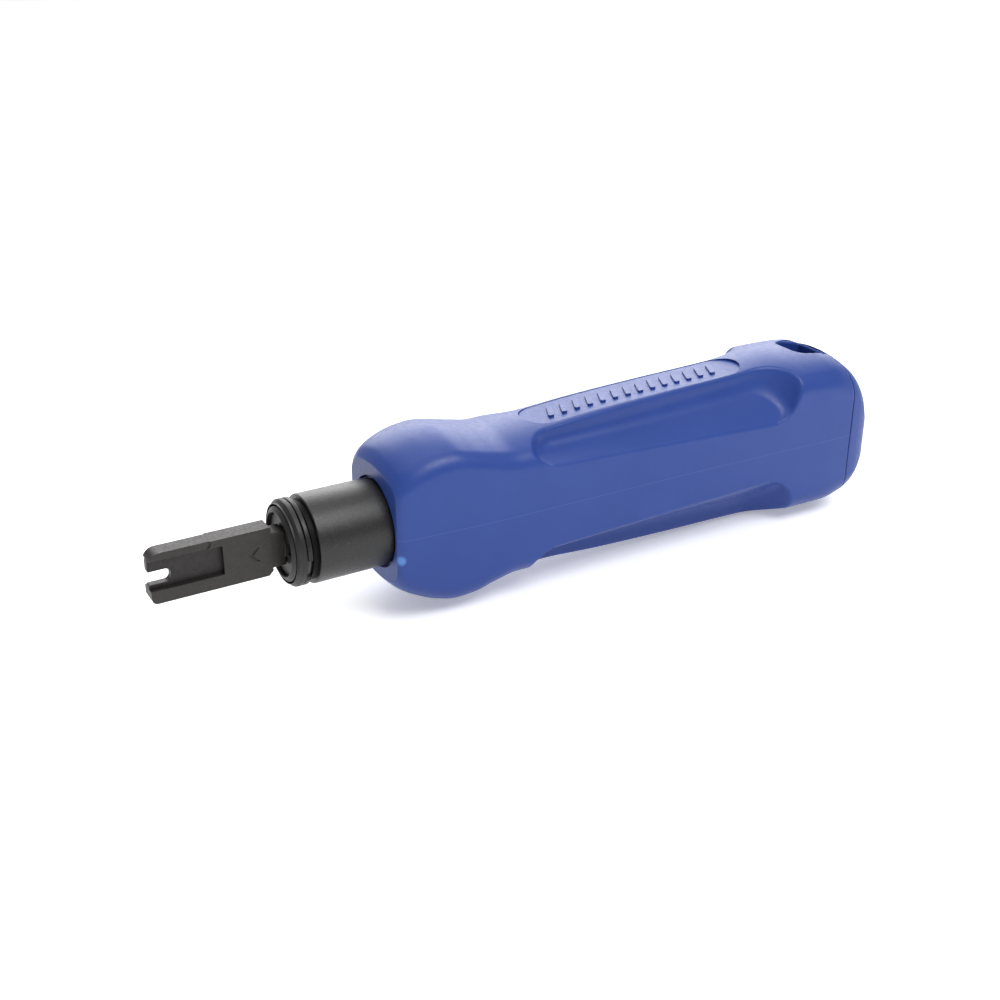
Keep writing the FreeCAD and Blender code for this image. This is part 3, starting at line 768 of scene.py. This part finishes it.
# Colours are linear.
BLUE_DARK = (0.0205, 0.052, 0.240)
BLUE_LIGHT = (0.0245, 0.059, 0.262)
BLUE_LINE = (0.16, 0.24, 0.60)
BLUE_GATE = (0.10, 0.25, 0.62)
OXIDE_DARK = (0.016, 0.012, 0.012)
OXIDE_LIGHT = (0.026, 0.020, 0.020)
OXIDE_PAINTED_SHADE = (0.006, 0.004, 0.005)
# The next tone is painted shade for the floor of the blade's channel.
OXIDE_EDGE = (0.020, 0.016, 0.016)
LINER_SHADE = 0.006
LINER_GREY = 0.085
LINE_SHARE = 0.10            # how far the parting line, the gate mark and the painted shade in the recess turn the tone
GATE_SHARE = 0.85
RECESS_SHADE_SHARE = 0.62

# Places in the materials, in metres.
PARTING_REACH = 0.0006
GATE_RADII = (0.0006, 0.0014)
LINER_SPAN = (-0.0205, -0.0175)
RECESS_REACH = 0.0024
BLADE_REACH = 0.006
FINE_BUMP = 0.0001
GRAIN_BUMP = 0.0002

NOISE_RANGE = (0.3, 0.7)     # the part of a noise that a colour or a roughness is spread over


def grey(value):
    return (value, value, value)


class Nodes:
    """A material's node tree, with short calls for the nodes used here."""

    def __init__(self, name):
        self.material = bpy.data.materials.new(name)
        self.material.use_nodes = True
        self.tree = self.material.node_tree
        self.shader = self.tree.nodes["Principled BSDF"]
        coordinates = self.tree.nodes.new("ShaderNodeTexCoord")
        self.place = coordinates.outputs["Object"]

    def link(self, source, target):
        self.tree.links.new(source, target)

    def noise(self, scale, detail=3.0, roughness=0.5, stretch=None):
        """A noise with scale cells to a metre, drawn out where a stretch is given."""
        node = self.tree.nodes.new("ShaderNodeTexNoise")
        node.inputs["Scale"].default_value = scale
        node.inputs["Detail"].default_value = detail
        node.inputs["Roughness"].default_value = roughness
        place = self.place
        if stretch:
            mapping = self.tree.nodes.new("ShaderNodeMapping")
            mapping.inputs["Scale"].default_value = stretch
            self.link(place, mapping.inputs["Vector"])
            place = mapping.outputs["Vector"]
        self.link(place, node.inputs["Vector"])
        return node.outputs["Fac"]

    def along(self, axis):
        """The piece's own X, Y or Z, in metres."""
        node = self.tree.nodes.new("ShaderNodeSeparateXYZ")
        self.link(self.place, node.inputs["Vector"])
        return node.outputs[axis]

    def ramp(self, value, stops):
        """A colour for each value, from (value, colour) stops."""
        node = self.tree.nodes.new("ShaderNodeValToRGB")
        elements = node.color_ramp.elements
        while len(elements) < len(stops):
            elements.new(0.5)
        for element, (position, color) in zip(elements, stops):
            element.position = position
            element.color = (*color, 1)
        self.link(value, node.inputs["Fac"])
        return node.outputs["Color"]

    def tones(self, noise, dark, light):
        """A colour that wanders between two with the noise."""
        return self.ramp(noise, [(NOISE_RANGE[0], dark), (NOISE_RANGE[1], light)])

    def levels(self, value, low, high, to_low, to_high):
        """The value's range from low to high, stretched to a new range."""
        node = self.tree.nodes.new("ShaderNodeMapRange")
        node.inputs["From Min"].default_value = low
        node.inputs["From Max"].default_value = high
        node.inputs["To Min"].default_value = to_low
        node.inputs["To Max"].default_value = to_high
        self.link(value, node.inputs["Value"])
        return node.outputs["Result"]

    def roughness(self, noise, low, high):
        """Makes the surface's roughness wander from low to high with the noise."""
        self.link(self.levels(noise, *NOISE_RANGE, low, high), self.shader.inputs["Roughness"])

    def band(self, axis, reach, inner, outer, inside=1.0):
        """A tone near the axis's zero, and its opposite beyond. inner and outer are shares of the reach."""
        place = self.levels(self.along(axis), -reach, reach, 0.0, 1.0)
        within, beyond = grey(inside), grey(1.0 - inside)
        return self.ramp(place, [(0.5 - outer / 2, beyond), (0.5 - inner / 2, within),
                                 (0.5 + inner / 2, within), (0.5 + outer / 2, beyond)])

    def mix(self, share, base, color):
        """The base colour turned towards another by a share from 0 to 1."""
        node = self.tree.nodes.new("ShaderNodeMixRGB")
        self.link(share, node.inputs["Fac"])
        self.link(base, node.inputs["Color1"])
        node.inputs["Color2"].default_value = (*color, 1)
        return node.outputs["Color"]

    def distance_from(self, point):
        """Metres from a point given in millimetres."""
        node = self.tree.nodes.new("ShaderNodeVectorMath")
        node.operation = "DISTANCE"
        self.link(self.place, node.inputs[0])
        node.inputs[1].default_value = [c * MM for c in point]
        return node.outputs["Value"]

    def add(self, a, b, share):
        """The first value plus a share of the second."""
        node = self.tree.nodes.new("ShaderNodeMath")
        node.operation = "MULTIPLY_ADD"
        self.link(b, node.inputs[0])
        node.inputs[1].default_value = share
        self.link(a, node.inputs[2])
        return node.outputs["Value"]

    def bump(self, height, strength, distance):
        """Raises the surface by the height, up to a distance in metres."""
        node = self.tree.nodes.new("ShaderNodeBump")
        node.inputs["Strength"].default_value = strength
        node.inputs["Distance"].default_value = distance
        self.link(height, node.inputs["Height"])
        self.link(node.outputs["Normal"], self.shader.inputs["Normal"])


def plastic_blue(name, gate=None):
    """Satin blue plastic with a fine parting line at mid height, and a pale gate mark where one is given."""
    m = Nodes(name)
    tone = m.tones(m.noise(60, detail=4, roughness=0.6), BLUE_DARK, BLUE_LIGHT)
    line = m.band("Z", PARTING_REACH, inner=0.08, outer=0.24)
    tone = m.mix(m.levels(line, 0.0, 1.0, 0.0, LINE_SHARE), tone, BLUE_LINE)
    if gate:
        away = m.distance_from(gate)
        tone = m.mix(m.levels(away, *GATE_RADII, GATE_SHARE, 0.0), tone, BLUE_GATE)
    m.link(tone, m.shader.inputs["Base Color"])
    m.roughness(m.noise(900), 0.32, 0.42)
    m.shader.inputs["Specular IOR Level"].default_value = 0.28
    grain = m.add(m.noise(1400, detail=2), m.noise(4200, detail=2), 0.5)
    m.bump(grain, strength=0.10, distance=FINE_BUMP)
    return m.material


def plastic_black(name):
    """Black plastic with a fine sparkling grain."""
    m = Nodes(name)
    grain = m.noise(3800, detail=2, roughness=0.7)
    tone = m.ramp(grain, [(0.40, grey(0.006)), (0.62, grey(0.012)), (0.74, grey(0.045))])
    m.link(tone, m.shader.inputs["Base Color"])
    m.roughness(grain, 0.40, 0.29)
    m.bump(grain, strength=0.36, distance=GRAIN_BUMP)
    return m.material


def satin_black(name, tone, rough, specular):
    """A smooth black surface with a faint cloudiness in tone and gloss."""
    m = Nodes(name)
    m.shader.inputs["Specular IOR Level"].default_value = specular
    fine = m.noise(1500)
    m.link(m.tones(fine, grey(tone * 0.85), grey(tone * 1.2)), m.shader.inputs["Base Color"])
    m.roughness(fine, rough, rough + 0.12)
    m.bump(fine, strength=0.12, distance=FINE_BUMP)
    return m.material


def liner_look(name):
    """Grey in the clip's groove and near black beside it, where it is in shade."""
    m = Nodes(name)
    place = m.levels(m.along("X"), *LINER_SPAN, 0.0, 1.0)
    dark, light = grey(LINER_SHADE), grey(LINER_GREY)
    tone = m.ramp(place, [(0.10, dark), (0.16, light), (0.60, light), (0.64, dark)])
    m.link(tone, m.shader.inputs["Base Color"])
    m.roughness(m.noise(1500), 0.40, 0.55)
    m.shader.inputs["Specular IOR Level"].default_value = 0.08
    return m.material


def black_oxide(name, recess=False):
    """Mottled black oxide, with painted shade that deepens the tone in the recesses of the blade."""
    m = Nodes(name)
    cloud = m.noise(260, detail=5, roughness=0.65)
    tone = m.tones(cloud, OXIDE_DARK, OXIDE_LIGHT)
    if recess:
        # Painted shade: the floor of each face's channel is darkened where the land above it would shade it.
        recess_shade = m.band("Y", RECESS_REACH, inner=0.56, outer=0.72)
        tone = m.mix(m.levels(recess_shade, 0.0, 1.0, 0.0, RECESS_SHADE_SHARE), tone, OXIDE_PAINTED_SHADE)
        edge = m.band("Z", BLADE_REACH, inner=0.82, outer=0.88, inside=0.0)
        tone = m.mix(m.levels(edge, 0.0, 1.0, 0.0, 1.0), tone, OXIDE_EDGE)
    m.link(tone, m.shader.inputs["Base Color"])
    m.roughness(m.noise(1800), 0.42, 0.62)
    m.shader.inputs["Metallic"].default_value = 0.1
    m.bump(m.add(m.noise(3000, detail=2), cloud, 0.4), strength=0.16, distance=FINE_BUMP)
    return m.material


def turned_steel(name, tone, rough, stretch=(900, 40, 40)):
    """Bare steel with fine turning marks across the tool axis, or an even grain for an even stretch."""
    m = Nodes(name)
    lines = m.noise(1.0, roughness=0.6, stretch=stretch)
    m.link(m.tones(lines, grey(tone * 0.85), grey(tone * 1.1)), m.shader.inputs["Base Color"])
    m.roughness(lines, rough, rough + 0.15)
    m.shader.inputs["Metallic"].default_value = 1.0
    m.bump(lines, strength=0.08, distance=FINE_BUMP)
    return m.material


GATE_MARK = (0.6, -11.9, -4.8)      # the moulding's gate, beside the nose
EVEN_GRAIN = (400, 400, 400)

MATERIALS = {
    "blue_plastic": plastic_blue("blue_plastic_look", GATE_MARK),
    "cap_plastic": plastic_blue("cap_plastic_look"),
    "black_plastic": plastic_black("black_plastic_look"),
    "grey_liner": liner_look("grey_liner_look"),
    "ring_plastic": satin_black("ring_plastic_look", 0.009, 0.42, 0.4),
    "clip_steel": satin_black("clip_steel_look", 0.009, 0.33, 0.35),
    "tube_steel": turned_steel("tube_steel_look", 0.50, 0.30),
    "cam_steel": turned_steel("cam_steel_look", 0.32, 0.28),
    "pin_steel": turned_steel("pin_steel_look", 0.55, 0.22),
    "spring_steel": turned_steel("spring_steel_look", 0.40, 0.30, EVEN_GRAIN),
    "holder_steel": black_oxide("holder_steel_look"),
    "hammer_steel": turned_steel("hammer_steel_look", 0.38, 0.32),
    "blade_steel": black_oxide("blade_steel_look", recess=True),
}


replaced_nodes = set()


def dress(piece, slot):
    """Gives a piece or a CAD node the look of its material slot."""
    piece.data.materials.clear()
    piece.data.materials.append(MATERIALS[slot])


def place_piece(piece, body, slot, node):
    """Puts a piece on its body, in place of the CAD node it stands for."""
    dress(piece, slot)
    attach(piece, body)
    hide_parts(node)
    replaced_nodes.add(node)


# ------------------------------------------------------------------------------------------------
# Pieces
# ------------------------------------------------------------------------------------------------

handle = make_handle_body()
boolean(handle, make_pocket_cutter())
boolean(handle, make_slot_cutter())
add_label_bars(handle)
shade(handle, FORM_SMOOTH)
keep_flat(handle)
place_piece(handle, "handle", "blue_plastic", "handle_body")
place_piece(make_end_cap(), "handle", "cap_plastic", "end_cap")
place_piece(make_barrel(), "handle", "black_plastic", "nose_barrel")
place_piece(make_nose_ring(), "handle", "ring_plastic", "nose_ring")
place_piece(make_sleeve(), "handle", "grey_liner", "guide_sleeve")
place_piece(make_clip(), "handle", "clip_steel", "split_retaining_clip")
place_piece(make_blade(), "blade", "blade_steel", "punch_blade")

main_spring = stand(make_coil("main_coil", *MAIN_COIL, around=12), MAIN_COIL_START, REARWARD)
place_piece(main_spring, "handle", "spring_steel", "main_spring")
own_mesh(main_spring)
return_spring = stand(make_coil("return_coil", *RETURN_COIL), RETURN_COIL_START, REARWARD)
place_piece(return_spring, "plunger", "spring_steel", "return_spring")
latch_coil = make_coil("latch_coil", *LATCH_COIL, steps=20, around=8)
latch_spring = stand(latch_coil, LATCH_COIL_START, UPWARD)
place_piece(latch_spring, "hammer", "spring_steel", "latch_spring")
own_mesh(latch_spring)
detent_coil = make_coil("detent_coil", *DETENT_COIL, steps=20, around=8)
detent_spring = stand(detent_coil, DETENT_COIL_START, UPWARD)
place_piece(detent_spring, "plunger", "spring_steel", "detent_spring")

for part in frame["record"]["subparts"]:
    if part["node"] not in replaced_nodes:
        dress(frame["nodes"][part["node"]], part["material_slot"])


# ------------------------------------------------------------------------------------------------
# Floor, light and camera
# ------------------------------------------------------------------------------------------------

# Lengths here are metres, except the camera's.
FLOOR_HALF = 4.0
FLOOR_GAP = 0.0002           # keeps the floor clear of the handle's lowest point
FLOOR_TONES = (0.90, 0.93)
FLOOR_ROUGH = 0.9
FLOOR_GLOW = 0.34
WORLD_STRENGTH = 0.41
LIGHT_AIM = (0.045, 0, 0)
# Each light's name, place, size and power in watts.
LIGHTS = [
    ("far_light", (0.62, 1.15, 0.62), (1.8, 1.0), 22.5),
    ("top_light", (0.0, 0.3, 1.3), (1.2, 1.2), 5.5),
    ("front_light", (0.20, -0.52, 0.86), (0.50, 0.50), 7.0),
]
CAMERA_AZIMUTH = -30.23
CAMERA_ELEVATION = 25.18
CAMERA_LENS = 48.42
CAMERA_SENSOR = 36.0
CAMERA_CLIP = (0.01, 20.0)   # metres
CAMERA_DEPTH = 326.6         # from the camera to the aim's plane
CAMERA_AIM = Vector((60.0, 0.0, 0.0))
CAMERA_SIDE = -23.87         # how far to the right of the aim the camera's centre line passes
CAMERA_RAISE = -8.12         # and how far above it


def make_floor():
    """The pale floor that the tool lies on, with a faint glow of its own."""
    low = CAD_BOX[0][2] - FLOOR_GAP
    corners = [(x * FLOOR_HALF, y * FLOOR_HALF, low) for x, y in ((-1, -1), (1, -1), (1, 1), (-1, 1))]
    mesh = bpy.data.meshes.new("floor")
    mesh.from_pydata(corners, [], [(0, 1, 2, 3)])
    floor = bpy.data.objects.new("floor", mesh)
    bpy.context.scene.collection.objects.link(floor)
    m = Nodes("floor_paper")
    paper = m.tones(m.noise(30, detail=2), grey(FLOOR_TONES[0]), grey(FLOOR_TONES[1]))
    m.link(paper, m.shader.inputs["Base Color"])
    m.link(paper, m.shader.inputs["Emission Color"])
    m.shader.inputs["Emission Strength"].default_value = FLOOR_GLOW
    m.shader.inputs["Roughness"].default_value = FLOOR_ROUGH
    mesh.materials.append(m.material)


def add_area(name, place, size, power):
    """A rectangular light that faces the middle of the tool."""
    light = bpy.data.lights.new(name, "AREA")
    light.shape = "RECTANGLE"
    light.size, light.size_y = size
    light.energy = power
    lamp = bpy.data.objects.new(name, light)
    lamp.location = place
    lamp.rotation_mode = "QUATERNION"
    lamp.rotation_quaternion = (Vector(LIGHT_AIM) - Vector(place)).to_track_quat("-Z", "Y")
    bpy.context.scene.collection.objects.link(lamp)


def make_lights():
    """The even light of the room and the three soft lights."""
    world = bpy.data.worlds.new("studio")
    world.use_nodes = True
    background = world.node_tree.nodes["Background"]
    background.inputs["Color"].default_value = (1.0, 1.0, 1.0, 1.0)
    background.inputs["Strength"].default_value = WORLD_STRENGTH
    bpy.context.scene.world = world
    for light in LIGHTS:
        add_area(*light)


def make_camera():
    """The camera, which looks down on the tool from its blade end and its -Y side."""
    a, e = math.radians(CAMERA_AZIMUTH), math.radians(CAMERA_ELEVATION)
    back = Vector((math.sin(a) * math.cos(e), -math.cos(a) * math.cos(e), math.sin(e)))
    right = (-back).cross(Vector((0, 0, 1))).normalized()
    up = right.cross(-back)
    place = CAMERA_AIM + back * CAMERA_DEPTH + right * CAMERA_SIDE + up * CAMERA_RAISE
    data = bpy.data.cameras.new("camera")
    data.sensor_width = CAMERA_SENSOR
    data.lens = CAMERA_LENS
    data.clip_start, data.clip_end = CAMERA_CLIP
    camera = bpy.data.objects.new("camera", data)
    turn = Matrix((right, up, back)).transposed().to_4x4()
    camera.matrix_world = Matrix.Translation(place * MM) @ turn
    bpy.context.scene.collection.objects.link(camera)
    bpy.context.scene.camera = camera


make_floor()
make_lights()
make_camera()
bpy.context.scene.view_settings.view_transform = "Standard"
